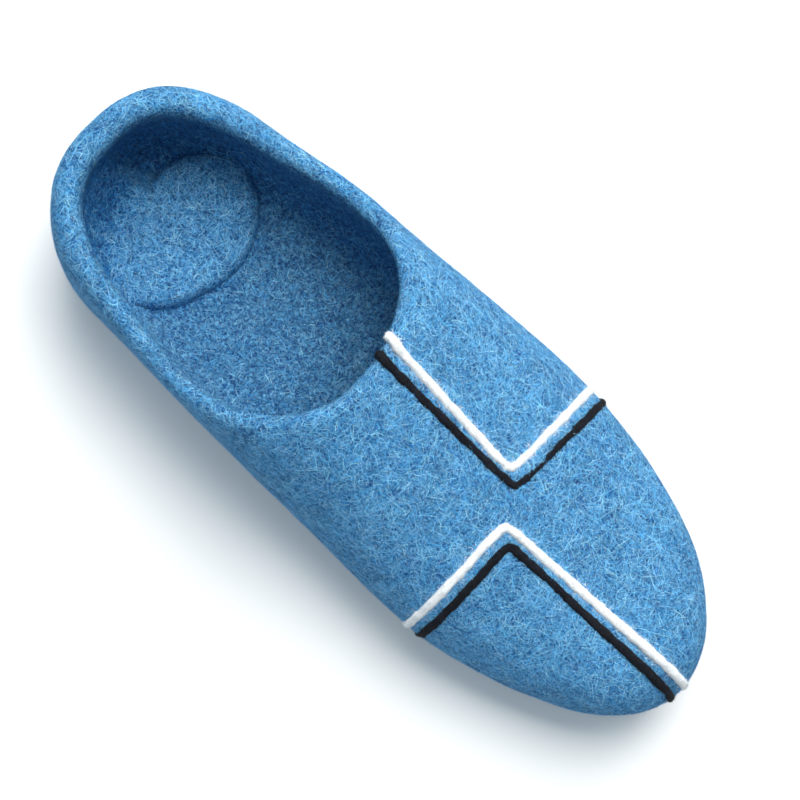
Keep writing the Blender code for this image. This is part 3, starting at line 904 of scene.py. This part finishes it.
def wool(upper, ground, pad, stripes):
    """Loose fibres over the felt, the pad and the yarn."""
    random = np.random.default_rng(FIBRE_SEED)
    share = 1.0
    outside = is_outside(ground)
    shown = (ground.outward[:, 2] > SHOWN).astype(float)
    swing = CLOUD_SWING * lumps(ground.centres, CLOUD_SIZE, CLOUD_SEED)
    clouds = np.maximum(CLOUD_MEAN + swing, CLOUD_LEAST)
    cover = Surface(pad.data)
    low = np.where(cover.centres[:, 2] < PAD_FIBRES_UNDER, 1.0, PAD_FIBRES_ABOVE)
    bare = clear_of(ground, cover) * low

    each = OUTSIDE_FIBRES / OUTSIDE_PIECES
    names = [f"wool_outside_{i + 1}" for i in range(OUTSIDE_PIECES)]
    outer = (ground, each, outside * shown * clouds, LEAN_OUTSIDE, LONG)
    felts = [(name, "felt", *outer) for name in names]
    felts.append(("wool_inside", "felt", ground, INSIDE_FIBRES, 1 - outside, LEAN_INSIDE, SHORT))
    felts.append(("wool_pad", "pad", cover, PAD_FIBRES, bare, LEAN_PAD, SHORT))
    for name, slot, surface, count, keep, lean, kind in felts:
        roots = surface.scatter(int(count * share), random, keep)
        heading = headings(roots[1], random, lean)
        fibres(name, slot, surface, roots, heading, kind, BLUE_HAIR, random)

    for stripe, slot, hair in stripes:
        cord = Surface(stripe.data)
        both = Surface(stripe.data, upper.data)
        roots = cord.scatter(int(STRIPE_FIBRES * share), random, proud(cord, ground))
        heading = run_of(cord, roots[0], random)
        fibres("wool_" + stripe.name, slot, both, roots, heading, YARN, hair, random)
        roots = ground.scatter(int(BESIDE_FIBRES * share), random, beside(ground, cord))
        heading = headings(roots[1], random, LEAN_BESIDE)
        name = "wool_beside_" + stripe.name
        fibres(name, "felt", both, roots, heading, BESIDE, BLUE_HAIR, random)


def stage():
    """The white floor."""
    corners = [(-1, -1), (1, -1), (1, 1), (-1, 1)]
    floor = bpy.data.meshes.new("floor")
    places = [(x * FLOOR_REACH, y * FLOOR_REACH, 0) for x, y in corners]
    floor.from_pydata(places, [], [(0, 1, 2, 3)])
    values = {"Base Color": FLOOR, "Roughness": 0.9, "Specular IOR Level": 0.1}
    floor.materials.append(Nodes("floor").finish(values))
    made = place("floor", floor)


def lamp(name, spot, size, power, colour):
    """A square lamp that shines at the slipper's middle."""
    light = bpy.data.lights.new(name, "AREA")
    light.shape = "SQUARE"
    light.size = size
    light.energy = power
    light.color = colour
    made = place(name, light)
    made.location = spot
    made.rotation_mode = "QUATERNION"
    made.rotation_quaternion = (-spot).to_track_quat("-Z", "Y")


def lights():
    """A soft sky, and a window and a fill lamp placed as the picture is turned."""
    world = bpy.data.worlds.new("studio")
    world.use_nodes = True
    sky = world.node_tree.nodes["Background"]
    sky.inputs["Color"].default_value = SKY
    sky.inputs["Strength"].default_value = SKY_STRENGTH
    bpy.context.scene.world = world
    bpy.context.scene.view_settings.view_transform = "Standard"
    up = PICTURE_UP.normalized()
    right = up.cross(UP)
    for name, (ahead, aside, above), size, power, colour in LAMPS:
        lamp(name, up * ahead + right * aside + UP * above, size, power, colour)


def camera():
    """The photo's camera."""
    view = bpy.data.cameras.new("camera")
    view.lens = LENS
    view.clip_start = CLIP_START
    made = place("camera", view)
    back = (CAMERA_PLACE - CAMERA_AIM).normalized()
    right = PICTURE_UP.cross(back).normalized()
    up = back.cross(right)
    turn = Matrix((right, up, back)).transposed().to_4x4()
    made.matrix_world = Matrix.Translation(CAMERA_PLACE) @ turn
    bpy.context.scene.camera = made


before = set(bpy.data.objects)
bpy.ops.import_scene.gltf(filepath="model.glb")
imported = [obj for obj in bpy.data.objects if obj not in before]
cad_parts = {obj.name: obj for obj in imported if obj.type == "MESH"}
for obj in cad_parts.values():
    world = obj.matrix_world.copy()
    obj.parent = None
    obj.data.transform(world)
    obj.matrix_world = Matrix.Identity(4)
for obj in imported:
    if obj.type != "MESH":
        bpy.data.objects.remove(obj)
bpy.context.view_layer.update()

camera()
lights()
stage()

FELT = felt_material("wool_felt", FELT_BASE, 1.0)
PAD = felt_material("wool_pad_felt", PAD_BASE, 0.6)
WHITE_YARN = yarn_material("felted_white_yarn", WHITE, WHITE_SHADE)
BLACK_YARN = yarn_material("felted_black_yarn", BLACK, BLACK_SHADE)
SUEDE_FINISH = suede_material("brushed_suede", SUEDE, SUEDE_DARK)
THREAD = yarn_material("waxed_thread", THREAD_COLOUR, SUEDE_DARK)
HAIR = hair_material("loose_wool")

upper = upper_piece()
ground = Surface(upper.data)
pad = pad_piece(ground)
sole = sole_piece()
stitches(sole)
stripes = []
for end in ("instep", "toe"):
    white = stripe_piece("stripe_white_" + end, WHITE_YARN, "white_yarn", ground, WHITE_PLUMP)
    black = stripe_piece("stripe_black_" + end, BLACK_YARN, "black_yarn", ground, BLACK_PLUMP)
    stripes += [(white, "white_yarn", WHITE_HAIR), (black, "black_yarn", BLACK_HAIR)]
wool(upper, ground, pad, stripes)
